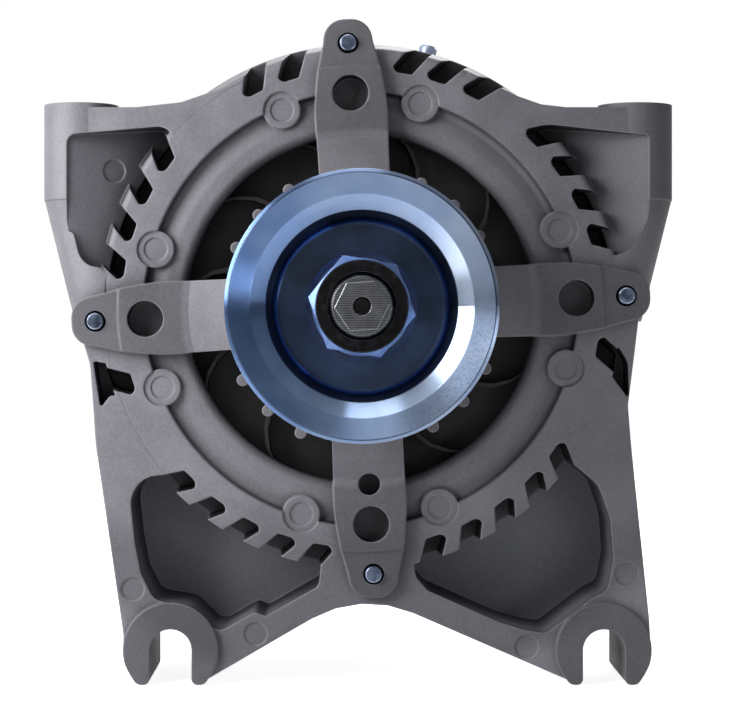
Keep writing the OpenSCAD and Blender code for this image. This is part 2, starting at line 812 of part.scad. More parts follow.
// swept blade from the inner to the outer radius, as a thin curved strip
function blade(r0, r1, lean, t) =
  let (n = 5)
  concat([for (i = [0 : n]) let (r = r0 + (r1 - r0) * i / n, a = lean * i * i / n / n)
      [r * cos(a) + t * sin(a), r * sin(a) - t * cos(a)]],
    [for (i = [n : -1 : 0]) let (r = r0 + (r1 - r0) * i / n, a = lean * i * i / n / n)
      [r * cos(a), r * sin(a)]]);
module fan(disc, from, to) {
  union() {
    tube(coil_in, rotor_r + 0.4, disc, disc + fan_t);
    for (k = [0 : fan_blades - 1])
      spin(360 / fan_blades * k)
        slab(from, to)
          polygon(blade(fan_in_r, rotor_r + 3.4, 22, 1.3));
  }
}
module front_fan() {
  color("dimgray")
  fan(fan_front, ring_back + 1.2, fan_front + fan_t / 2);
}
module rear_fan() {
  color("dimgray")
  fan(pole_end, pole_end + fan_t / 2, pole_end + 9);
}
module slip_ring_insulator() {
  end = ring_y + ring_step + ring_w + 1.5;
  color("black")
  union() {
    tube(tail_r, bush_r, rear_bearing_end + 1, end);
    for (y = [[ring_y - 1.2, ring_y], [ring_y + ring_w, ring_y + ring_step],
              [ring_y + ring_step + ring_w, end]])
      tube(tail_r, slip_r - 0.5, y[0], y[1]);
  }
}
module slip_ring_front() {
  color("orange")
  tube(bush_r, slip_r, ring_y, ring_y + ring_w);
}
module slip_ring_rear() {
  color("orange")
  tube(bush_r, slip_r, ring_y + ring_step, ring_y + ring_step + ring_w);
}

// ---- stator
module stator_core() {
  r = bore_d / 2;
  step = 360 / slots;
  tooth = step * 0.34;
  color("darkslategray")
  slab(core_y, core_end)
    difference() {
      circle(core_r);
      polygon([for (k = [0 : slots - 1]) let (a = k * step)
        each [for (p = [[r, -tooth], [r, 0], [r, tooth], [r + 1.4, step * 0.42],
                        [r + 2.6, step * 0.25], [r + 11.6, step * 0.28], [r + 11.6, step * 0.72],
                        [r + 2.6, step * 0.75], [r + 1.4, step * 0.58]])
          polar([p[0], a + p[1]])]]);
    }
}
module stator_winding() {
  r = bore_d / 2;
  step = 360 / slots;
  color("chocolate")
  union() {
    // wires in the slots
    slab(core_y - 0.6, core_end + 0.6)
      for (k = [0 : slots - 1])
        rotate((k + 0.5) * step)
          translate([r + 3.2, -1.7])
            square([7.6, 3.4]);
    // end turns, one bundle in front of each slot
    for (y = [[core_y - 7.8, core_y - gap], [core_end + gap, core_end + 7.8]])
      slab(y[0], y[1])
        difference() {
          polygon([for (k = [0 : slots - 1]) let (a = k * step)
            each [polar([r + 12.4, a]), polar([r + 13.6, a + step * 0.3]),
              polar([r + 13.6, a + step * 0.7])]]);
          circle(r + 3);
        }
  }
}

// ---- rear housing
module rear_housing() {
  hub_r = rear_bearing_d / 2;
  color("silver")
  difference() {
    union() {
      turned()
        polygon(rounded([[shell_r, rear_start, 0], [shell_r, core_end + 3, 0.8],
          [can_r, core_end + 5, 0.8], [can_r - 1, rear_wall, 3], [hub_r + 4, rear_wall, 0],
          [hub_r + 4, rear_bearing_end + 1.5, 0.8], [hub_r - 6.5, rear_bearing_end + 1.5, 0],
          [hub_r - 6.5, rear_bearing_end, 0], [hub_r, rear_bearing_end, 0],
          [hub_r, rear_bearing_y - 0.5, 0], [hub_r + 4, rear_bearing_y - 0.5, 0],
          [hub_r + 5, rear_wall - wall_t, 0], [inner_r - 3, rear_wall - wall_t, 2],
          [inner_r, rear_wall - wall_t - 3, 0], [inner_r, core_end, 0],
          [core_r + fit, core_end, 0], [core_r + fit, rear_start, 0]]));
      for (a = arms)
        at(bolt_circle_r, a)
          post(ear_r, rear_start, ear_end);
      spin(harness_angle)
        translate([core_r + 0.6, harness_y, 0])
          rotate([0, 90, 0])
            cylinder(r = 4.4, h = core_wall + 1);
    }
    post(core_r + fit, rear_start - 1, core_end);
    post(inner_r, core_end - 1, core_end + 18 - wall_t);
    // swept air windows in the wall
    for (a = arms, k = [0 : 4])
      spin(a + 17 + 14 * k)
        slab(core_end + 6, rear_wall - 5)
          polygon([[inner_r - 6, -3.4], [can_r + 5.4, -9], [can_r + 5.4, -2], [inner_r - 6, 3.4]]);
    // air openings in the end wall
    for (a = arms, k = [0 : 2])
      sector(a + 4 + 30 * k, a + 22 + 30 * k)
        translate([hub_r + 9, rear_wall - wall_t - 1])
          square([inner_r - hub_r - 23, wall_t + 2]);
    for (a = arms)
      at(bolt_circle_r, a)
        post(bolt_d / 2 + 0.1, rear_start - 1, ear_end + 1);
    for (a = cover_stud_angles)
      at(cover_stud_r, a)
        post(cover_stud_d / 2, rear_wall - 3, rear_wall + 1);
    spin(harness_angle)
      translate([core_r - 1, harness_y, 0])
        rotate([0, 90, 0])
          cylinder(r = 2.4, h = 12);
  }
}
module through_bolts() {
  y = ear_end;
  color("gray")
  for (a = arms)
    at(bolt_circle_r, a)
      union() {
        turned()
          polygon([[0, flange_y - 3.4], [bolt_d / 2 - 0.75, flange_y - 3.4],
            [bolt_d / 2 - 0.45, flange_y - 3.1], [bolt_d / 2 - 0.45, flange_y + 1],
            [bolt_d / 2, flange_y + 1.5], [bolt_d / 2, y], [washer_r, y], [washer_r, y + 0.8],
            [0, y + 0.8]]);
        hexagon(head_af, y + 0.8, y + 4.6);
      }
}
module harness_stud() {
  color("silver")
  spin(harness_angle)
    translate([core_r + 0.5, harness_y, 0])
      rotate([0, 90, 0]) {
        cylinder(r = 2.4, h = core_wall + 5.6);
        translate([0, 0, core_wall + 5.6])
          cylinder(r1 = 2.4, r2 = 1.8, h = 0.7);
      }
}

// ---- rectifier
module rectifier_plate(r0, r1, y0, y1) {
  sector(rectifier_from, rectifier_to)
    translate([r0, y0])
      square([r1 - r0, y1 - y0]);
}
module stud_holes(r, y0, y1) {
  for (a = cover_stud_angles)
    at(cover_stud_r, a)
      post(r, y0, y1);
}
module negative_heat_sink() {
  y1 = rear_wall + minus_t;
  color("silver")
  difference() {
    rectifier_plate(rear_bearing_d / 2 + 6, plate_r, rear_wall, y1);
    stud_holes(cover_stud_d / 2 + 0.1, rear_wall - 1, y1 + 1);
    for (a = minus_angles)
      at(diode_r, a)
        post(diode_d / 2, rear_wall - 1, y1 + 1);
  }
}
module positive_heat_sink() {
  y1 = plus_y + plus_t;
  color("silver")
  difference() {
    rectifier_plate(28, plate_r - 1, plus_y, y1);
    stud_holes(5.4, plus_y - 1, y1 + 1);
    for (a = plus_angles)
      at(diode_r, a)
        post(diode_d / 2, plus_y - 1, y1 + 1);
    for (a = minus_angles)
      at(diode_r, a)
        post(3, plus_y - 1, y1 + 1);
    at(output_r, output_angle)
      post(output_core_r, plus_y - 1, y1 + 1);
    // cooling slots at the rim
    for (a = [rectifier_from + 9, 182, 214, 236, 270, 308, rectifier_to - 22, rectifier_to - 10])
      spin(a)
        slab(plus_y - 1, y1 + 1)
          translate([plate_r - 6, -1.2])
            square([8, 2.4]);
  }
}
// pressed diode: body in its plate, lead towards the terminals
module diode(y, way) {
  color("dimgray")
  union() {
    post(diode_d / 2, y, y + 5);
    translate([0, way > 0 ? y + 5 : y, 0])
      mirror([0, way > 0 ? 0 : 1, 0])
        post(0.8, 0, 4.5);
  }
}
module negative_diodes() {
  for (a = minus_angles)
    at(diode_r, a)
      diode(rear_wall, 1);
}
module positive_diodes() {
  for (a = plus_angles)
    at(diode_r, a)
      diode(plus_y - 0.6, -1);
}
module rectifier_moulding() {
  y1 = moulding_y + moulding_h;
  color("black")
  difference() {
    rectifier_plate(30, plate_r - 2, moulding_y, y1);
    stud_holes(cover_stud_d / 2 + 0.1, moulding_y - 1, y1 + 1);
    for (a = concat(minus_angles, plus_angles))
      at(diode_r, a)
        post(diode_d / 2 + 0.5, moulding_y - 1, y1 + 1);
    at(output_r, output_angle)
      post(output_d / 2 + 3.4, moulding_y - 1, y1 + 1);
  }
}
module output_stud() {
  color("goldenrod")
  at(output_r, output_angle)
    union() {
      hexagon(output_d + 4, plus_y - 3.5, plus_y);
      post(output_core_r, plus_y, output_nut_end);
      post(output_d / 2, output_nut_end, output_end - 1);
      translate([0, output_end, 0])
        rotate([90, 0, 0])
          cylinder(r1 = output_d / 2 - 0.8, r2 = output_d / 2, h = 1);
    }
}
module output_insulator() {
  r = output_d / 2;
  color("firebrick")
  at(output_r, output_angle)
    turned()
      polygon([[output_core_r + fit, plus_y + plus_t], [r + 3.5, plus_y + plus_t],
        [r + 3.5, cover_end + gap], [r + 5.5, cover_end + gap], [r + 5.5, cover_end + 3],
        [output_core_r + fit, cover_end + 3]]);
}
module output_nut() {
  color("silver")
  at(output_r, output_angle)
    difference() {
      union() {
        hexagon(output_d + 5, cover_end + 4, output_nut_end);
        post(output_d / 2 + 4.5, cover_end + 3, cover_end + 4);
      }
      post(output_core_r, cover_end + 2, output_nut_end + 1);
    }
}

// ---- regulator and brush gear
module regulator() {
  z = regulator_z;
  color("dimgray")
  difference() {
    union() {
      slab(rear_wall, regulator_end)
        polygon(rounded([[regulator_left, z, 2], [regulator_right, z, 2],
          [regulator_right, regulator_top - 3.5, 4], [regulator_right - 6, regulator_top, 4],
          [regulator_left + 4, regulator_top, 4], [regulator_left, regulator_top - 3.5, 4]]));
      // cooling fins
      for (k = [0 : 6])
        translate([regulator_left + 3 + 3.4 * k, regulator_end - 1, z + 2])
          cube([1.4, 4.5, regulator_top - z - 4]);
      // connector socket
      translate([socket[0], 0, socket[1]])
        slab(regulator_end - 1, socket_end)
          socket_outline(0);
    }
    translate([socket[0], 0, socket[1]])
      slab(regulator_end, socket_end + 1)
        socket_outline(socket_wall);
  }
}
module socket_outline(inset) {
  x = socket_w / 2 - inset;
  z = socket_h / 2 - inset;
  polygon(rounded([[-x, -z, 1.5], [x, -z, 1.5], [x, z, 1.5], [-x, z, 1.5]]));
}
module connector_pins() {
  color("silver")
  for (k = [-1 : 1])
    translate([socket[0] + 5 * k - 0.4, regulator_end, socket[1] - 1.5])
      cube([0.8, socket_end - regulator_end - 4, 3]);
}
module brush_holder() {
  color("saddlebrown")
  difference() {
    slab(holder_y, holder_end)
      polygon(rounded([[-brush_w / 2 - 3.4, holder_z, 1], [brush_w / 2 + 3.4, holder_z, 1],
        [brush_w / 2 + 5, regulator_z, 0], [-brush_w / 2 - 5, regulator_z, 0]]));
    for (y = [ring_y + ring_w / 2, ring_y + ring_step + ring_w / 2])
      translate([-brush_w / 2 - brush_gap, y - brush_t / 2 - brush_gap, holder_z - 1])
        cube([brush_w + 2 * brush_gap, brush_t + 2 * brush_gap, spring_z - holder_z + 1]);
  }
}
module brush(y) {
  difference() {
    translate([-brush_w / 2, y - brush_t / 2, slip_r - 1.4])
      cube([brush_w, brush_t, brush_top - slip_r + 1.4]);
    post(slip_r + fit, y - brush_t, y + brush_t);
  }
}
module brush_front() {
  color("dimgray")
  brush(ring_y + ring_w / 2);
}
module brush_rear() {
  color("dimgray")
  brush(ring_y + ring_step + ring_w / 2);
}
// coil spring of flat wire, from the brush to the roof of its channel
module brush_spring(y) {
  wire = [for (i = [0 : 4]) [spring_r - 0.6, 25 * i], for (i = [4 : -1 : 0]) [spring_r, 25 * i]];
  translate([0, y, brush_top])
    linear_extrude(spring_z - brush_top, twist = -360 * spring_turns, slices = 14 * spring_turns,
                   segments = len(wire))
      polygon([for (p = wire) polar(p)]);
}
module brush_spring_front() {
  color("silver")
  brush_spring(ring_y + ring_w / 2);
}
module brush_spring_rear() {
  color("silver")
  brush_spring(ring_y + ring_step + ring_w / 2);
}

// ---- rear cover
module rear_cover() {
  r = cover_d / 2;
  collar_r = output_d / 2 + 6;
  color("dimgray")
  difference() {
    union() {
      difference() {
        turned()
          polygon(rounded([[0, cover_end, 0], [0, cover_end - cover_t, 0],
            [r - cover_t, cover_end - cover_t, 2], [r - cover_t, rear_wall, 0],
            [r, rear_wall, 0], [r, cover_end, 4]]));
        // louvres in three rings over the heat sinks
        for (q = [0 : 2], k = [0 : 7])
          sector(157 + 29 * k, 176 + 29 * k)
            translate([22 + 9 * q, cover_end - cover_t - 1])
              square([5, cover_t + 2]);
        // air slots round the rim
        for (k = [0 : 17])
          spin(160 + 13 * k)
            slab(rear_wall + 5, cover_end - 6)
              translate([r - 6, -2])
                square([12, 4]);
      }
      // collar of the output terminal, and a seat for each nut
      at(output_r, output_angle)
        post(collar_r, cover_end - cover_t - 0.6, cover_end + 0.2);
      for (a = cover_stud_angles)
        at(cover_stud_r, a)
          post(6.6, cover_end - cover_t + 0.4, cover_end - 0.2);
    }
    at(output_r, output_angle)
      post(output_d / 2 + 3.5 + gap, cover_end - cover_t - 1, cover_end + 1);
    stud_holes(cover_stud_d / 2 + 0.2, cover_end - cover_t - 1, cover_end + 1);
    translate([socket[0], 0, socket[1]])
      slab(cover_end - cover_t - 1, cover_end + 1)
        socket_outline(-gap);
  }
}
module cover_studs() {
  color("gray")
  for (a = cover_stud_angles)
    at(cover_stud_r, a)
      union() {
        post(cover_stud_d / 2, rear_wall - 3, cover_end + 5);
        tube(cover_stud_d / 2 - 1, 4.6, a > 150 ? plus_y : rear_wall, cover_end - cover_t);
      }
}
module cover_nuts() {
  color("silver")
  for (a = cover_stud_angles)
    at(cover_stud_r, a)
      difference() {
        union() {
          hexagon(head_af, cover_end + 0.8, cover_end + 4.2);
          post(5.4, cover_end, cover_end + 0.8);
        }
        post(cover_stud_d / 2, cover_end - 1, cover_end + 5);
      }
}

front_housing();
rear_housing();
stator_core();
stator_winding();
through_bolts();
front_bearing_outer();
front_bearing_inner();
front_bearing_balls();
front_bearing_cage();
front_bearing_seals();
retainer_plate();
retainer_screws();
rotor_shaft();
pulley_spacer();
rotor_spacer();
front_claw_pole();
rear_claw_pole();
coil_bobbin();
field_coil();
front_fan();
rear_fan();
rear_spacer();
rear_bearing_outer();
rear_bearing_inner();
rear_bearing_balls();
rear_bearing_cage();
rear_bearing_seals();
slip_ring_insulator();
slip_ring_front();
slip_ring_rear();
pulley();
pulley_nut();
brush_holder();
brush_front();
brush_rear();
brush_spring_front();
brush_spring_rear();
regulator();
connector_pins();
negative_heat_sink();
positive_heat_sink();
negative_diodes();
positive_diodes();
rectifier_moulding();
output_stud();
output_insulator();
output_nut();
rear_cover();
cover_studs();
cover_nuts();
harness_stud();
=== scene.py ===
import math

import bpy
import numpy as np
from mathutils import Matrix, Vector


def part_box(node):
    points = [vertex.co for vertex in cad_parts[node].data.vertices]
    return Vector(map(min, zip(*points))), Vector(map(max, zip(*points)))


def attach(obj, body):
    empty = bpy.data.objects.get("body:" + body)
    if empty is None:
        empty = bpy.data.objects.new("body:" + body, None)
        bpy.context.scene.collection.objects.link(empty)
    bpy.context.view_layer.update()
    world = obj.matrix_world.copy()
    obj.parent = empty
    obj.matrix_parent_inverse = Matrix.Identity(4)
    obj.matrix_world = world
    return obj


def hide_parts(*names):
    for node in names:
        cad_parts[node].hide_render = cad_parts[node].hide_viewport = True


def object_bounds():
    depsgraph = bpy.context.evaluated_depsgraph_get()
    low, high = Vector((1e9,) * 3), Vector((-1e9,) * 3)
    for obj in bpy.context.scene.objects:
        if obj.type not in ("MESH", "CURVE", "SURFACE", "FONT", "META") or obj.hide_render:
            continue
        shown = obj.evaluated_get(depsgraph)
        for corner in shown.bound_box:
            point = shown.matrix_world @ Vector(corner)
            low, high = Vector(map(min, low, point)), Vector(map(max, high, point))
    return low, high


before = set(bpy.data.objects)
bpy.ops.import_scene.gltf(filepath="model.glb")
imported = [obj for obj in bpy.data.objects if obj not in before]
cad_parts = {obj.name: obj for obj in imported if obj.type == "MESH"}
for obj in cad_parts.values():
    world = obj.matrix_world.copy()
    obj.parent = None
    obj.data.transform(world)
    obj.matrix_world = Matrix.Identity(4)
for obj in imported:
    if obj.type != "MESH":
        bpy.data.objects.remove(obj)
cad_box = [list(corner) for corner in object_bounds()]

# ---- Camera
# It looks along the shaft from 560 mm in front of the flange, from a little left of the shaft and
# a little below it. Named sizes, here and further down, are in millimetres.
MM = 0.001
FLANGE_Y = 28
CAMERA_AWAY = 560
camera_data = bpy.data.cameras.new("camera")
camera_data.lens = 108.8
camera_data.sensor_width = 36
camera_data.shift_x = 0.0387
camera_data.shift_y = -0.0215
camera = bpy.data.objects.new("camera", camera_data)
camera.location = (-4 * MM, (FLANGE_Y - CAMERA_AWAY) * MM, -8.5 * MM)
camera.rotation_euler = (math.radians(90), 0, 0)
bpy.context.scene.collection.objects.link(camera)
bpy.context.scene.camera = camera
bpy.context.scene.view_settings.view_transform = "Standard"


# ---- Lamps
# A soft box stands close at the upper left, so its light falls off to the right. A weak one at the
# lower right, in front, puts a line of light on the metal, and a large one lights the back.
def linear(hex_colour):
    """sRGB hex to linear RGBA: c / 12.92 below 0.04045, else ((c + 0.055) / 1.055) to the 2.4."""
    c = np.array([int(hex_colour[i:i + 2], 16) / 255 for i in (1, 3, 5)])
    return [*np.where(c < 0.04045, c / 12.92, ((c + 0.055) / 1.055) ** 2.4).tolist(), 1.0]


def soft_box(name, place, size, watts, colour):
    """A square area lamp at place that faces the middle of the flange, measured in millimetres."""
    data = bpy.data.lights.new(name, "AREA")
    data.size = size * MM
    data.energy = watts
    data.color = linear(colour)[:3]
    lamp = bpy.data.objects.new(name, data)
    lamp.location = Vector(place) * MM
    backwards = Vector(place) - Vector((0, FLANGE_Y, 0))
    lamp.rotation_euler = backwards.to_track_quat("Z", "Y").to_euler()
    bpy.context.scene.collection.objects.link(lamp)


soft_box("key_light", (-260, -140, 110), 200, 1.20, "#fdfcff")
soft_box("fill_light", (320, -520, -90), 140, 0.40, "#eef2ff")
soft_box("back_light", (200, 750, 620), 600, 6.0, "#ffffff")

# ---- Room
# Metal mirrors a room of bright panels with dark gaps between them, dimmer behind the camera.
# The camera and clear things see it white, and it lights matt skins only a little.
MATT_LEVEL = 0.08
UNEVEN = (1.3, 2.3)
room = bpy.data.worlds.new("room")
room.use_nodes = True
studio = room.node_tree
studio.nodes.clear()


def add(tree, kind, *values, out=None, stops=(), **named):
    """Adds one node, and gives its first output or the one called out.

    values fill the sockets that the node shows, in order: numbers, vectors, hex colours or other
    nodes' outputs. A capital name in named is a socket as well, with _ for a space, and a
    lower-case one is a setting of the node. stops are a colour ramp's (position, colour).
    """
    node = tree.nodes.new("ShaderNode" + kind)
    for name, value in named.items():
        if name[0].islower():
            setattr(node, name, value)
    filled = list(zip([socket for socket in node.inputs if socket.enabled], values))
    filled += [(node.inputs[name.replace("_", " ")], value) for name, value in named.items()
               if name[0].isupper()]
    for socket, value in filled:
        if isinstance(value, bpy.types.NodeSocket):
            tree.links.new(value, socket)
        else:
            socket.default_value = linear(value) if isinstance(value, str) else value
    if stops:
        elements = node.color_ramp.elements
        while len(elements) < len(stops):
            elements.new(1.0)
        for element, (position, colour) in zip(elements, stops):
            element.position = position
            element.color = linear(colour) if isinstance(colour, str) else colour
    if out:
        return node.outputs[out]
    return next((socket for socket in node.outputs if socket.enabled), None)


def seen_white(tree):
    """1 where the camera looks, straight or through something clear, and 0 for other rays."""
    return add(tree, "Math", add(tree, "LightPath", out="Is Camera Ray"),
               add(tree, "LightPath", out="Is Transmission Ray"), operation="MAXIMUM")


def panels(*stops):
    """Brightness of the walls round the shaft by (degrees, level): 0 is right and 90 overhead."""
    return add(studio, "ValToRGB", round_shaft, stops=[
        ((degrees + 180) / 360, (level, level, level, 1.0)) for degrees, level in stops])


direction = add(studio, "TexCoord", out="Generated")
round_shaft = add(studio, "Math", add(studio, "SeparateXYZ", direction, out="Z"),
                  add(studio, "SeparateXYZ", direction, out="X"), operation="ARCTAN2")
round_shaft = add(studio, "MapRange", round_shaft, -math.pi, math.pi)
beside = panels((-180, 0.06), (-176, 0.06), (-171, 0.34), (-90, 0.40), (-35, 0.32), (-10, 0.20),
                (-5, 0.06), (4, 0.06), (10, 0.15), (60, 0.20), (80, 0.24), (83, 1.20),
                (108, 1.20), (113, 0.40), (130, 0.42), (136, 0.70), (174, 0.70), (178, 0.06),
                (180, 0.06))
before = panels((-180, 0.05), (-176, 0.08), (-160, 0.22), (-90, 0.40), (-30, 0.30), (-8, 0.30),
                (-3, 0.04), (3, 0.04), (8, 0.14), (45, 0.20), (78, 0.24), (83, 0.62),
                (104, 0.62), (110, 0.22), (128, 0.24), (136, 0.62), (172, 0.62), (177, 0.05),
                (180, 0.05))
# the walls beside the shaft take over from the ones in front of it, and each is a little uneven
sideways = add(studio, "MapRange", add(studio, "SeparateXYZ", direction, out="Y"), -0.88, -0.50)
walls = add(studio, "Mix", sideways, before, beside, data_type="RGBA")
uneven = add(studio, "TexNoise", direction, 9.0, 2.0)
uneven = add(studio, "MapRange", uneven, 0.3, 0.7, *UNEVEN)
mirrored = add(studio, "Math", walls, uneven, operation="MULTIPLY")
level = add(studio, "MapRange", add(studio, "LightPath", out="Is Glossy Ray"),
            To_Min=MATT_LEVEL, To_Max=mirrored)
level = add(studio, "MapRange", seen_white(studio), To_Min=level, To_Max=1.0)
add(studio, "OutputWorld", add(studio, "Background", "#ffffff", level))
bpy.context.scene.world = room


# ---- Floor
# Pale matt paper, just under the feet. It gives some light of its own to the camera, more of it
# far away, so that it looks white and still keeps the shadow, and less of it to metal.
FLOOR_REACH = 4000
FLOOR_GAP = 0.2
NEAR, FAR = 200, 800
NEAR_GLOW, FAR_GLOW, MIRRORED_GLOW = 0.90, 1.0, 0.55


def material(name):
    """A material with an empty tree, with its tree and its Object coordinates."""
    made = bpy.data.materials.new(name)
    made.use_nodes = True
    made.node_tree.nodes.clear()
    return made, made.node_tree, add(made.node_tree, "TexCoord", out="Object")


def mesh_piece(name, points, faces, coat, body):
    """Puts rows of points and lists of corner numbers into a mesh that rides on body."""
    data = bpy.data.meshes.new(name)
    data.from_pydata(points.tolist(), [], faces)
    data.validate()
    data.materials.append(coat)
    made = bpy.data.objects.new(name, data)
    bpy.context.scene.collection.objects.link(made)
    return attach(made, body) if body else made


paper, tree, here = material("pale_paper")
away = add(tree, "VectorMath", here, operation="LENGTH")
glow = add(tree, "MapRange", away, NEAR * MM, FAR * MM, NEAR_GLOW, FAR_GLOW)
glow = add(tree, "Math", seen_white(tree), glow, operation="MULTIPLY")
mirrored = add(tree, "Math", add(tree, "LightPath", out="Is Glossy Ray"), MIRRORED_GLOW,
               operation="MULTIPLY")
glow = add(tree, "Math", glow, mirrored, operation="MAXIMUM")
both = add(tree, "AddShader", add(tree, "BsdfDiffuse", "#f6f6f7"),
           add(tree, "Emission", "#ffffff", glow))
add(tree, "OutputMaterial", both)
corners = np.array([[-1, -1, 0], [1, -1, 0], [1, 1, 0], [-1, 1, 0]]) * FLOOR_REACH * MM
corners[:, 2] = cad_box[0][2] - FLOOR_GAP * MM
floor = mesh_piece("floor", corners, [(0, 1, 2, 3)], paper, None)

# ---- Die-cast housings
# Front and rear housings are pressure die-cast aluminium, lightly shot-blasted and left bare:
# grey, matt and faintly mottled, with a fine grain, and lighter along their edges, partly from
# wear and partly as painted highlight. Painted shade darkens the skin in several places below.
MOTTLE = 11.0  # width of the mottle's patches
SPECK = 0.6  # width of the grain
PLATE_Y = 27.0  # the outer plates of the spokes stand in front of this
PLATE_R = 45.0  # where they begin on a spoke, from the axis
WEB_Y = 29.0  # webs and the floors of pockets lie behind this
DEEPEST_Y = 57.0
SHADE_REACH = 22.0  # how near a wall has to be to darken the skin with painted shade
FEET_R = 92.0  # where the feet begin, from the axis


def finish(tree, colour, roughness, normal, **constants):
    """Ends a tree in one Principled shader."""
    shader = add(tree, "BsdfPrincipled", Base_Color=colour, Roughness=roughness, Normal=normal,
                 **constants)
    add(tree, "OutputMaterial", shader)


def edge_mask(tree, radius_mm):
    """A normal rounded at the edges, and how far it turns from the face's: 0 flat, 1 at an edge."""
    rounded = add(tree, "Bevel", radius_mm * MM, samples=6)
    flat = add(tree, "NewGeometry", out="True Normal")
    same = add(tree, "VectorMath", rounded, flat, operation="DOT_PRODUCT")
    return rounded, add(tree, "MapRange", same, 0.98, 0.75, 0.0, 1.0)


def closed_in(tree, reach_mm):
    """How far the piece's own walls shut the surface in: 0 in the open, 1 deep in a corner."""
    open_share = add(tree, "AmbientOcclusion", Distance=reach_mm * MM, samples=6, only_local=True,
                     out="AO")
    return add(tree, "MapRange", open_share, 0.92, 0.38, 0.0, 1.0)


def smaller(tree, *values):
    """The least of some outputs or numbers."""
    least = values[0]
    for value in values[1:]:
        least = add(tree, "Math", least, value, operation="MINIMUM")
    return least


def radius_of(tree, here):
    """Distance from the shaft axis, in metres."""
    flat = add(tree, "VectorMath", here, (1.0, 0.0, 1.0), operation="MULTIPLY")
    return add(tree, "VectorMath", flat, operation="LENGTH")


def put_on(made, *names):
    """Gives CAD nodes this material in their own slots."""
    for name in names:
        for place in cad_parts[name].material_slots:
            place.material = made


cast, tree, here = material("die_cast_aluminium")
radius = radius_of(tree, here)
across = add(tree, "SeparateXYZ", here, out="X")
depth = add(tree, "SeparateXYZ", here, out="Y")
height = add(tree, "SeparateXYZ", here, out="Z")
facing = add(tree, "SeparateXYZ", add(tree, "NewGeometry", out="True Normal"), out="Y")
mottle = add(tree, "TexNoise", here, 1 / (MOTTLE * MM), 4.0, 0.55)
skin = add(tree, "ValToRGB", mottle,
           stops=[(0.30, "#848287"), (0.52, "#8f8d92"), (0.72, "#99979c")])
# the outer plates of the spokes are painted darker, as painted shade
plate = smaller(tree, add(tree, "MapRange", depth, (PLATE_Y + 0.4) * MM, PLATE_Y * MM, 0.0, 1.0),
                add(tree, "MapRange", radius, (PLATE_R - 1.4) * MM, PLATE_R * MM, 0.35, 0.9))
plate_shade_tone = add(tree, "ValToRGB", mottle, stops=[(0.3, "#5f5f62"), (0.7, "#6c6b6f")])
skin = add(tree, "Mix", plate, skin, plate_shade_tone, data_type="RGBA")
# the webs and the floors of the pockets are painted a tone that changes with depth: painted
# shade, darkest part way down
shaded_floors = smaller(tree, add(tree, "MapRange", depth, WEB_Y * MM, (WEB_Y + 2) * MM, 0.0, 0.92),
                 add(tree, "MapRange", facing, -0.5, -0.75, 0.0, 1.0))
depth_shade = add(tree, "MapRange", depth, WEB_Y * MM, DEEPEST_Y * MM, 0.0, 1.0)
depth_shade = add(tree, "ValToRGB", depth_shade,
             stops=[(0.0, "#87888c"), (0.15, "#828387"), (0.32, "#595b5f"), (0.50, "#4c4e52"),
                    (0.80, "#9a9ca0")])
skin = add(tree, "Mix", shaded_floors, skin, depth_shade, data_type="RGBA")
# the skin is painted darker at the upper right, and low down as far as the feet: painted
# shade; the skin is matched darker at the upper right, and low down as far as the feet
upper_right_shade = smaller(tree, add(tree, "MapRange", across, 8 * MM, 60 * MM, 0.0, 0.40),
                add(tree, "MapRange", height, 8 * MM, 28 * MM, 0.0, 0.40))
low_shade = smaller(tree, add(tree, "MapRange", height, -46 * MM, -60 * MM, 0.0, 0.40),
                add(tree, "MapRange", radius, (FEET_R + 5) * MM, FEET_R * MM, 0.0, 0.40),
                add(tree, "MapRange", depth, (WEB_Y + 1) * MM, (WEB_Y + 5) * MM, 0.40, 0.0))
painted_shade = add(tree, "Math", upper_right_shade, low_shade, operation="MAXIMUM")
skin = add(tree, "Mix", painted_shade, skin, "#36373a", data_type="RGBA")
# painted shade darkens the skin where walls and ribs shut it in, most of all on the pockets' walls
share = add(tree, "Math", add(tree, "MapRange", depth, 50 * MM, 54 * MM, 0.58, 0.22),
            add(tree, "MapRange", facing, -0.8, -0.5, 0.0, 0.95), operation="MAXIMUM")
corner_shade = add(tree, "Math", closed_in(tree, SHADE_REACH), share, operation="MULTIPLY")
skin = add(tree, "Mix", corner_shade, skin, "#232528", data_type="RGBA")
# the grain of the blasted skin is drawn coarser than it is, so that it shows
speck = add(tree, "TexNoise", here, 1 / (SPECK * MM), 2.0, 0.7)
speck_tone = add(tree, "ValToRGB", speck, stops=[(0.30, "#58585b"), (0.70, "#acabaf")])
skin = add(tree, "Mix", 0.42, skin, speck_tone, data_type="RGBA", blend_type="SOFT_LIGHT")
# lighter along the edges: partly wear, and partly a painted highlight where edges catch the light
rounded, worn_and_lit_edge = edge_mask(tree, 0.75)
worn_and_lit_edge = add(tree, "Math", worn_and_lit_edge, 0.50, operation="MULTIPLY")
skin = add(tree, "Mix", worn_and_lit_edge, skin, "#b6b5ba", data_type="RGBA")
grit = add(tree, "Bump", Height=speck, Distance=0.08 * MM, Strength=0.6, Normal=rounded)
pits = add(tree, "TexNoise", here, 1 / (2.6 * MM), 2.0, 0.55)
grit = add(tree, "Bump", Height=pits, Distance=0.10 * MM, Strength=0.35, Normal=grit)
finish(tree, skin, add(tree, "MapRange", mottle, 0.3, 0.7, 0.54, 0.66), grit, Metallic=0.12)
put_on(cast, "front_housing", "rear_housing")

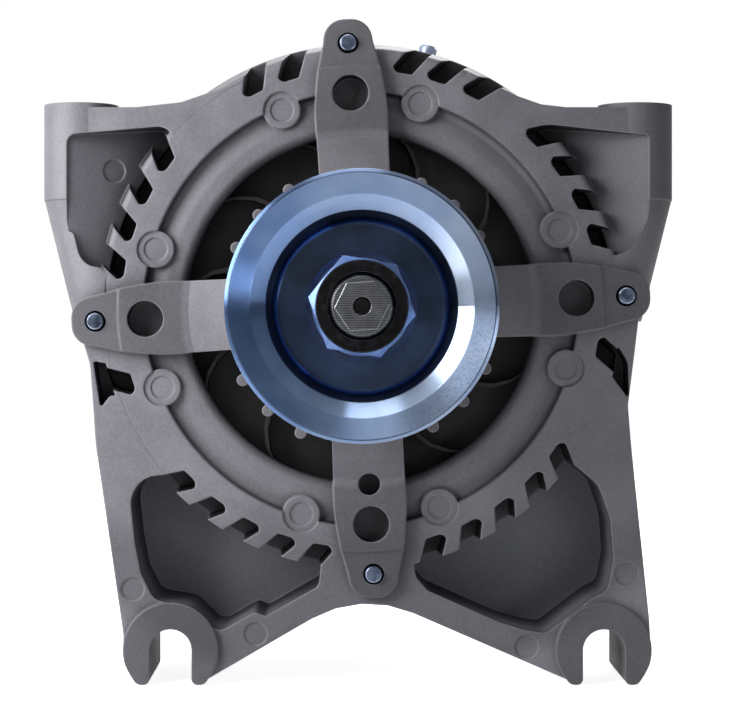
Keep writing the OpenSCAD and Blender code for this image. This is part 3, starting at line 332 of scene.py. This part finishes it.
# ---- Pulley
# Turned steel with blue-passivated zinc: bright lathe-cut rim and chamfer, and a deep recess
# painted navy as painted shade. The fine rings of the lathe draw its shine out across them.
FLOOR_R = 20.2  # where the recess's floor ends
WALL_R = 21.0
CHAMFER_R = 22.2  # where the chamfer begins
RIM_R = 25.75
GROOVE_R = 30.75
LATHE_PITCH = 0.30


def shelf(tree, value, edge_mm, width_mm):
    """0 below edge_mm and 1 above it, with a soft step of width_mm."""
    return add(tree, "MapRange", value, (edge_mm - width_mm / 2) * MM,
               (edge_mm + width_mm / 2) * MM, 0.0, 1.0)


blue_zinc, tree, here = material("blue_zinc_plated_steel")
radius = radius_of(tree, here)
across = add(tree, "SeparateXYZ", here, out="X")
depth = add(tree, "SeparateXYZ", here, out="Y")
height = add(tree, "SeparateXYZ", here, out="Z")
cloud = add(tree, "TexNoise", here, 1 / (14 * MM), 3.0, 0.55)
# the rim is painted bluer on the left and paler on the right, as a painted reflection;
# the plating is matched bluer on the left of the rim, and paler on the right
blue = add(tree, "ValToRGB", cloud, stops=[(0.30, "#5a7cb2"), (0.70, "#7897c8")])
pale_painted_reflection = add(tree, "ValToRGB", cloud, stops=[(0.30, "#9db2d2"), (0.70, "#bfcde2")])
to_right = add(tree, "MapRange", across, -30 * MM, 22 * MM, 0.0, 1.0)
rim = add(tree, "Mix", to_right, blue, pale_painted_reflection, data_type="RGBA")
# outside the chamfer it is duller
dull = add(tree, "Math", shelf(tree, radius, RIM_R, 0.15), 0.42, operation="MULTIPLY")
dull_tone = add(tree, "ValToRGB", cloud, stops=[(0.30, "#33496e"), (0.70, "#4c6285")])
rim = add(tree, "Mix", dull, rim, dull_tone, data_type="RGBA")
# dust low on the right of the rim breaks its shine up
dust = add(tree, "TexNoise", here, 1 / (0.45 * MM), 2.0, 0.55)
dust = smaller(tree, add(tree, "MapRange", dust, 0.52, 0.62, 0.0, 0.35),
               shelf(tree, radius, RIM_R + 0.75, 0.5),
               add(tree, "MapRange", to_right, 0.60, 0.95, 0.0, 0.35),
               add(tree, "MapRange", height, 2 * MM, -6 * MM, 0.0, 0.35))
rim = add(tree, "Mix", dust, rim, "#4d5a70", data_type="RGBA")
# a fine groove runs round just inside the rim's edge, drawn as a dark line of painted shade
groove_shade = smaller(tree, shelf(tree, radius, GROOVE_R, 0.1),
                 add(tree, "MapRange", radius, (GROOVE_R + 0.25) * MM, (GROOVE_R + 0.35) * MM,
                     1.0, 0.0))
rim = add(tree, "Mix", groove_shade, rim, "#39465f", data_type="RGBA")
# the recess is painted navy and darker still on its wall, as painted shade, with a lighter line
# in the corner round the floor as a painted highlight
recess_shade = add(tree, "ValToRGB", cloud, stops=[(0.30, "#262c38"), (0.70, "#394863")])
corner = smaller(tree, shelf(tree, radius, FLOOR_R, 0.7),
                 add(tree, "MapRange", radius, (WALL_R - 0.2) * MM, (WALL_R + 0.3) * MM, 1.0, 0.0))
recess_shade = add(tree, "Mix", corner, recess_shade, "#587ab4", data_type="RGBA")
wall = smaller(tree, shelf(tree, radius, WALL_R, 0.3),
               add(tree, "MapRange", depth, 0.8 * MM, 0.0, 0.0, 0.85))
recess_shade = add(tree, "Mix", wall, recess_shade, "#1b1f27", data_type="RGBA")
plating = add(tree, "Mix", shelf(tree, radius, CHAMFER_R, 0.3), recess_shade, rim, data_type="RGBA")
# lighter at the edges: partly wear, and partly a painted highlight
rounded, worn_and_lit_edge = edge_mask(tree, 0.2)
plating = add(tree, "Mix", worn_and_lit_edge, plating, "#dde6f6", data_type="RGBA")
# the rim is cut a little hollow between the chamfer and the groove
hollow = add(tree, "MapRange", radius, (RIM_R + 0.05) * MM, (GROOVE_R - 0.05) * MM, 0.0, 1.0)
hollow = add(tree, "Bump", Height=hollow, Distance=1.5 * MM, Strength=1.0, Normal=rounded)
# the lathe's rings are drawn 0.3 mm apart, coarser than they are, so that they show
turning = add(tree, "Math", radius, 2 * math.pi / (LATHE_PITCH * MM), operation="MULTIPLY")
turning = add(tree, "Math", turning, operation="SINE")
broken = add(tree, "TexNoise", here, 1 / (1.2 * MM), 2.0, 0.55)
turning = add(tree, "Math", turning, broken, operation="MULTIPLY")
turning = add(tree, "Bump", Height=turning, Distance=0.006 * MM, Strength=0.4, Normal=hollow)
# the tangent runs round the shaft, and a quarter turn from it stretches the shine outwards
finish(tree, plating, add(tree, "MapRange", cloud, 0.3, 0.7, 0.17, 0.24), turning, Metallic=1.0,
       Anisotropic=0.85, Anisotropic_Rotation=0.25,
       Tangent=add(tree, "Tangent", direction_type="RADIAL", axis="Y"))
put_on(blue_zinc, "pulley")

# ---- Pulley nut
# Flanged hexagon nut, forged and machined: its face is black oxide, and its flats and flange are
# zinc-bright, with the blue of the recess painted on them as a painted reflection.
NUT_FACE_Y = -9.85
NUT_FLANGE_Y = 0.2
nut_finish, tree, here = material("black_oxide_nut")
depth = add(tree, "SeparateXYZ", here, out="Y")
below_face = shelf(tree, depth, NUT_FACE_Y, 0.1)
face = add(tree, "ValToRGB", add(tree, "TexNoise", here, 1 / (1.6 * MM), 4.0, 0.7),
           stops=[(0.35, "#0b0b0c"), (0.60, "#18181a"), (0.80, "#3a3a3d")])
flats_with_painted_reflection = add(tree, "ValToRGB", add(tree, "TexNoise", here, 1 / (5 * MM), 3.0, 0.55),
            stops=[(0.3, "#4d6ba3"), (0.7, "#7f98c8")])
flats_with_painted_reflection = add(tree, "Mix", shelf(tree, depth, NUT_FLANGE_Y, 0.3), flats_with_painted_reflection, "#a9bde2",
            data_type="RGBA")
# lighter at the edges: partly wear, and partly a painted highlight
rounded, worn_and_lit_edge = edge_mask(tree, 0.18)
coat = add(tree, "Mix", below_face, face, flats_with_painted_reflection, data_type="RGBA")
coat = add(tree, "Mix", worn_and_lit_edge, coat, "#ccd5e8", data_type="RGBA")
grit = add(tree, "TexNoise", here, 1 / (0.8 * MM), 3.0, 0.55)
grit = add(tree, "Bump", Height=grit, Distance=0.05 * MM, Strength=0.4, Normal=rounded)
finish(tree, coat, add(tree, "MapRange", below_face, 0.0, 1.0, 0.55, 0.34), grit, Metallic=0.9)
put_on(nut_finish, "pulley_nut")

# ---- Shaft, spacers, springs and screws
# Ground carbon steel. The tip of the shaft keeps the straight marks of the saw, and its thread
# and centre hole are painted dark as painted shade. The saw's marks are drawn a little coarse so
# that they show.
SAW_PITCH = 0.55
THREAD_R = 7.15
CENTRE_HOLE_R = 2.1
ground_steel, tree, here = material("ground_steel")
radius = radius_of(tree, here)
depth = add(tree, "SeparateXYZ", here, out="Y")
marks = add(tree, "TexWave", here, math.pi / 10 / (SAW_PITCH * MM), Distortion=1.2, Detail=2.0,
            Detail_Scale=2.0, bands_direction="Z", out="Fac")
oil = add(tree, "TexNoise", here, 1 / (3 * MM), 3.0, 0.55)
# the steel's tone is painted darker than bare ground steel, as a painted reflection of a dark room
steel = add(tree, "ValToRGB", oil, stops=[(0.3, "#505153"), (0.7, "#6b6d70")])
sawn = add(tree, "ValToRGB", marks, stops=[(0.0, "#2c2d2f"), (1.0, "#76787b")])
steel = add(tree, "Mix", 0.35, steel, sawn, data_type="RGBA")
# lighter at the edges: partly wear, and partly a painted highlight
rounded, worn_and_lit_edge = edge_mask(tree, 0.22)
steel = add(tree, "Mix", worn_and_lit_edge, steel, "#c3c5c9", data_type="RGBA")
# the thread and the centre hole are painted near black, as painted shade
thread_shade = smaller(tree, shelf(tree, radius, THREAD_R, 0.15),
                 add(tree, "MapRange", depth, 0.5 * MM, 1.0 * MM, 1.0, 0.0))
steel = add(tree, "Mix", thread_shade, steel, "#0f0f10", data_type="RGBA")
hole_shade = smaller(tree, add(tree, "MapRange", radius, (CENTRE_HOLE_R + 0.1) * MM,
                         CENTRE_HOLE_R * MM, 0.0, 1.0),
               add(tree, "MapRange", depth, 10 * MM, 0.0, 0.0, 1.0))
steel = add(tree, "Mix", hole_shade, steel, "#0a0a0b", data_type="RGBA")
cut = add(tree, "Bump", Height=marks, Distance=0.02 * MM, Strength=0.3, Normal=rounded)
finish(tree, steel, add(tree, "MapRange", marks, 0.0, 1.0, 0.26, 0.38), cut, Metallic=1.0)
put_on(ground_steel, "rotor_shaft", "pulley_spacer", "rotor_spacer", "rear_spacer",
       "retainer_plate", "retainer_screws", "brush_spring_front", "brush_spring_rear",
       "negative_diodes", "positive_diodes")

# ---- Through bolts, studs and nuts
# Cold-formed steel with a bright clear zinc plating, slightly cloudy and blue. The sheared tips
# of the through bolts are dull inside their bright chamfers.
BOLT_TIP_Y = 24.8
bright_zinc, tree, here = material("bright_zinc_steel")
depth = add(tree, "SeparateXYZ", here, out="Y")
facing = add(tree, "SeparateXYZ", add(tree, "NewGeometry", out="True Normal"), out="Y")
bloom = add(tree, "TexNoise", here, 1 / (1.5 * MM), 3.0, 0.55)
zinc = add(tree, "ValToRGB", bloom, stops=[(0.3, "#717d96"), (0.7, "#a3aec4")])
tip = smaller(tree, add(tree, "MapRange", depth, (BOLT_TIP_Y + 0.1) * MM,
                        (BOLT_TIP_Y - 0.1) * MM, 0.0, 0.85),
              add(tree, "MapRange", facing, -0.95, -0.99, 0.0, 0.85))
sheared = add(tree, "ValToRGB", bloom, stops=[(0.35, "#2c3442"), (0.65, "#566176")])
zinc = add(tree, "Mix", tip, zinc, sheared, data_type="RGBA")
# lighter at the edges: partly wear, and partly a painted highlight
rounded, worn_and_lit_edge = edge_mask(tree, 0.15)
zinc = add(tree, "Mix", worn_and_lit_edge, zinc, "#e2e8f4", data_type="RGBA")
cloudy = add(tree, "Bump", Height=bloom, Distance=0.02 * MM, Strength=0.3, Normal=rounded)
finish(tree, zinc, add(tree, "MapRange", bloom, 0.3, 0.7, 0.24, 0.40), cloudy, Metallic=1.0)
put_on(bright_zinc, "through_bolts", "cover_studs", "cover_nuts", "output_nut", "harness_stud")


# ---- Claw poles and fans
# Forged iron claw poles and pressed steel fans, that run close behind the spokes in their shade:
# painted nearly black as painted shade, half matt, and a little lighter at edges from wear and
# painted highlight.
def painted(name, low, high, lumps_mm, rough, metal, depth_mm, edge=None, coat=0.0):
    """A finish of two hex colours that change over lumps_mm, with edge at its edges: wear and
    painted highlight.

    Its bump is depth_mm deep, with grain an eighth as wide as the lumps.
    """
    made, tree, here = material(name)
    lumps = add(tree, "TexNoise", here, 1 / (lumps_mm * MM), 4.0, 0.55)
    tone = add(tree, "ValToRGB", lumps, stops=[(0.3, low), (0.7, high)])
    # edge lightens the edges: partly wear, and partly a painted highlight
    rounded, worn_and_lit_edge = edge_mask(tree, 0.3)
    if edge:
        tone = add(tree, "Mix", worn_and_lit_edge, tone, edge, data_type="RGBA")
    fine = add(tree, "TexNoise", here, 8 / (lumps_mm * MM), 2.0, 0.55)
    fine = add(tree, "Bump", Height=fine, Distance=depth_mm * MM, Strength=0.4, Normal=rounded)
    finish(tree, tone, add(tree, "MapRange", lumps, 0.3, 0.7, rough - 0.05, rough + 0.07), fine,
           Metallic=metal, Coat_Weight=coat)
    return made


iron_painted_dark = painted("iron_painted_dark", "#090909", "#101012", 4.0, 0.55, 0.2, 0.03, "#1d1d20")
fan_steel_painted_dark = painted("pressed_fan_steel", "#070708", "#0d0d0e", 5.0, 0.55, 0.1, 0.03, "#17171a")
put_on(iron_painted_dark, "front_claw_pole", "rear_claw_pole")
put_on(fan_steel_painted_dark, "front_fan", "rear_fan")

# ---- Field coil
# Copper wire under a clear enamel, wound on the bobbin between the claw poles. The enamel makes
# it a deep red-brown with a hard gloss over the metal's own shine.
enamel, tree, here = material("enamelled_copper_wire")
tint = add(tree, "TexNoise", here, 1 / (6 * MM), 2.0, 0.55)
lacquer = add(tree, "ValToRGB", tint, stops=[(0.3, "#5e2410"), (0.7, "#8e3f1c")])
ripple = add(tree, "TexNoise", here, 1 / (0.6 * MM), 3.0, 0.55)
finish(tree, lacquer, add(tree, "MapRange", tint, 0.3, 0.7, 0.26, 0.36),
       add(tree, "Bump", Height=ripple, Distance=0.03 * MM, Strength=0.3), Metallic=0.6,
       Coat_Weight=0.6, Coat_Roughness=0.12)
put_on(enamel, "field_coil")

# ---- Stator winding
# Thirty-six coils of enamelled copper wire, four turns each. A coil lies in two slots that are
# three apart, at the top of one and the bottom of the other, and crosses over in a blunt point at
# each end of the core.
SLOTS = 36
SLOT_SPAN = 3
BORE_R = 46.1
SLOT_MIDDLE = 7  # from the bore
WIRE_R = 0.80
WIRE_SPREAD = 0.86  # half of what two wires side by side are apart
LAYER_GAP = 1.75  # between wires that lie one over the other
END_TURN = 5.4  # how far the points stand beyond the core
CROSSING = 6.1  # from the bore to where a coil changes layer
CROSSING_RISE = 1.95
CROSSING_LENGTH = 2.2
ROUND_LOOP = 60  # points along a loop
ROUND_WIRE = 6  # points round a wire
FINER = 4  # how much finer a loop is worked out first
EASED_OVER = 13  # how many of those finer points a corner is eased over


def eased(rows):
    """Moving average along each closed row, weighted by a hump, then every FINER-th value."""
    hump = np.hanning(EASED_OVER) / np.hanning(EASED_OVER).sum()
    side = EASED_OVER // 2
    return np.array([np.convolve(np.r_[row[-side:], row, row[:side]], hump, "valid")
                     for row in rows])[:, ::FINER]


def coil_wires(core_y, core_end):
    """Points of all the wires, as (coil, wire, along the loop, round the wire, 3), in millimetres.

    A loop is a closed six-cornered line in arc length s and depth y: two straight sides at s = -W
    and W, and two points at s = 0, with its corners eased by a moving average. Its angle is the
    coil's own plus s over the slots' middle radius, and its radius steps from the inner layer to
    the outer one with tanh of s. A circle of the wire's radius is set square to the loop at each
    point.
    """
    slot_radius = BORE_R + SLOT_MIDDLE
    half = SLOT_SPAN / 2 * 2 * math.pi / SLOTS * slot_radius
    spread = WIRE_SPREAD * np.array([-1, 1, -1, 1])[:, None]
    layer = LAYER_GAP * np.array([0, 0, 1, 1])[:, None]
    start = np.zeros((4, 1))
    front, back, side = start + core_y, start + core_end, half + spread
    s = np.hstack([-side, -side, start, side, side, start, -side])
    y = np.hstack([front, back, back + END_TURN + spread, back, front, front - END_TURN - spread,
                   front])
    run = np.hstack([start, np.cumsum(np.hypot(np.diff(s), np.diff(y)), 1)])
    at = np.linspace(0, 1, ROUND_LOOP * FINER, endpoint=False)
    s = eased(np.array([np.interp(at * r[-1], r, v) for r, v in zip(run, s)]))
    y = eased(np.array([np.interp(at * r[-1], r, v) for r, v in zip(run, y)]))
    radius = BORE_R + CROSSING + CROSSING_RISE * np.tanh(s / CROSSING_LENGTH) + layer
    coil = np.arange(SLOTS)[:, None, None] + 0.5 + SLOT_SPAN / 2
    angle = coil * 2 * math.pi / SLOTS + s / slot_radius
    line = np.stack([radius * np.cos(angle), y + 0 * angle, radius * np.sin(angle)], -1)
    along = np.roll(line, -1, 2) - np.roll(line, 1, 2)
    along /= np.linalg.norm(along, axis=-1, keepdims=True)
    out = line * [1, 0, 1]
    out -= (out * along).sum(-1, keepdims=True) * along
    out /= np.linalg.norm(out, axis=-1, keepdims=True)
    beside = np.cross(along, out)
    turn = np.arange(ROUND_WIRE)[:, None] * 2 * math.pi / ROUND_WIRE
    return (line[..., None, :] + WIRE_R * (out[..., None, :] * np.cos(turn)
                                           + beside[..., None, :] * np.sin(turn)))


def tube_faces(tubes, length, sides):
    """Four-cornered faces of closed tubes: a point, the next round the wire, and both further on.

    Point (tube, i, j) has the number (tube * length + i) * sides + j, and i and j start again
    after the last.
    """
    tube, i, j = np.meshgrid(np.arange(tubes), np.arange(length), np.arange(sides), indexing="ij")
    ring = (tube * length + i) * sides
    next_ring = (tube * length + (i + 1) % length) * sides
    next_j = (j + 1) % sides
    faces = np.stack([ring + j, ring + next_j, next_ring + next_j, next_ring + j], -1)
    return faces.reshape(-1, 4).tolist()


core_low, core_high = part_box("stator_core")
wires = coil_wires(core_low[1] / MM, core_high[1] / MM)
coils = mesh_piece("wound_coils", wires.reshape(-1, 3) * MM,
                   tube_faces(4 * SLOTS, ROUND_LOOP, ROUND_WIRE), enamel, "housing")
coils.data.polygons.foreach_set("use_smooth", [True] * len(coils.data.polygons))
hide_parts("stator_winding")

# ---- Stator core
# A stack of 0.5 mm electrical steel sheets, baked together under varnish. Its rim shows between
# the housings, faintly rusty. The sheets are drawn 1.23 mm thick, so that they show.
SHEET_PITCH = 1.2337
sheets, tree, here = material("laminated_core_steel")
layers = add(tree, "TexWave", here, math.pi / 10 / (SHEET_PITCH * MM), bands_direction="Y",
             wave_profile="SAW", out="Fac")
stain = add(tree, "TexNoise", here, 1 / (7 * MM), 4.0, 0.55)
rust = add(tree, "ValToRGB", stain,
           stops=[(0.3, "#37363a"), (0.62, "#55545a"), (0.8, "#5d4d44")])
striped = add(tree, "ValToRGB", layers, stops=[(0.0, "#232326"), (1.0, "#75757c")])
rust = add(tree, "Mix", 0.35, rust, striped, data_type="RGBA")
finish(tree, rust, add(tree, "MapRange", stain, 0.3, 0.7, 0.42, 0.6),
       add(tree, "Bump", Height=layers, Distance=0.05 * MM, Strength=0.5), Metallic=0.7)
put_on(sheets, "stator_core")

# ---- Ball bearings
# Hardened chrome steel races and balls, ground and polished, so nearly mirror-bright, with seals
# of black nitrile rubber, which are matt.
chrome_steel = painted("polished_bearing_steel", "#b9bbbf", "#cdd0d4", 3.0, 0.16, 1.0, 0.004,
                       "#f0f2f4")
nitrile = painted("nitrile_rubber", "#0e0e0f", "#1a1a1b", 2.0, 0.68, 0.0, 0.03)
put_on(chrome_steel, "front_bearing_outer", "front_bearing_inner", "front_bearing_balls",
       "rear_bearing_outer", "rear_bearing_inner", "rear_bearing_balls")
put_on(nitrile, "front_bearing_seals", "rear_bearing_seals")

# ---- Slip rings and brushes
# Copper rings turned bright on a black insulator, and brushes of pressed graphite, dark grey with
# a faint metal sheen. The brush holder is brown phenolic, moulded, with a soft shine.
ring_copper = painted("turned_copper", "#a5582f", "#c97a4c", 4.0, 0.26, 1.0, 0.01, "#f0b48e")
carbon = painted("pressed_graphite", "#1c1c1f", "#2c2c30", 1.5, 0.50, 0.4, 0.04, "#46464b")
phenolic = painted("brown_phenolic", "#38190c", "#4c2513", 3.0, 0.45, 0.0, 0.04, "#6e3a20")
put_on(ring_copper, "slip_ring_front", "slip_ring_rear")
put_on(carbon, "brush_front", "brush_rear")
put_on(phenolic, "brush_holder")

# ---- Moulded black parts
# Glass-filled nylon with the fine spark-eroded grain of its mould: satin black, greyer on edges.
# The bearing cages, coil bobbin, ring insulator, regulator, terminal moulding and rear cover.
black_nylon = painted("black_glass_filled_nylon", "#141517", "#202124", 3.0, 0.48, 0.0, 0.05,
                      "#35363a")
put_on(black_nylon, "front_bearing_cage", "rear_bearing_cage", "coil_bobbin",
       "slip_ring_insulator", "regulator", "rectifier_moulding", "rear_cover")

# ---- Rectifier and connector
# The heat sinks are pressed from aluminium sheet and left bare, a soft silver grey. The pins of
# the regulator's socket are plated brass.
sink_sheet = painted("pressed_aluminium_sheet", "#8f9194", "#aeb0b4", 6.0, 0.40, 1.0, 0.03,
                     "#d4d6da")
terminal_brass = painted("plated_brass", "#a98a46", "#cbb06a", 3.0, 0.30, 1.0, 0.02, "#efdba6")
put_on(sink_sheet, "negative_heat_sink", "positive_heat_sink")
put_on(terminal_brass, "connector_pins")

# ---- Output stud
# Brass rod with a rolled thread, painted darker in its valleys as painted shade. It stands in an
# insulator moulded from glass-filled polyester, red and fairly glossy.
THREAD_PITCH = 1.25
rolled_brass, tree, here = material("rolled_brass_thread")
winding = add(tree, "TexWave", here, math.pi / 10 / (THREAD_PITCH * MM), bands_direction="Y",
              out="Fac")
tarnish = add(tree, "TexNoise", here, 1 / (2.5 * MM), 3.0, 0.55)
brass = add(tree, "ValToRGB", tarnish, stops=[(0.3, "#9c7c3a"), (0.7, "#c8aa62")])
valley_shade = add(tree, "MapRange", winding, 0.0, 0.5, 0.6, 0.0)
brass = add(tree, "Mix", valley_shade, brass, "#3f2f14", data_type="RGBA")
finish(tree, brass, add(tree, "MapRange", tarnish, 0.3, 0.7, 0.28, 0.42),
       add(tree, "Bump", Height=winding, Distance=0.35 * MM, Strength=0.8), Metallic=1.0)
put_on(rolled_brass, "output_stud")
red_polyester = painted("red_glass_polyester", "#7c1a12", "#942417", 4.0, 0.32, 0.0, 0.02,
                        "#b8463a", 0.3)
put_on(red_polyester, "output_insulator")
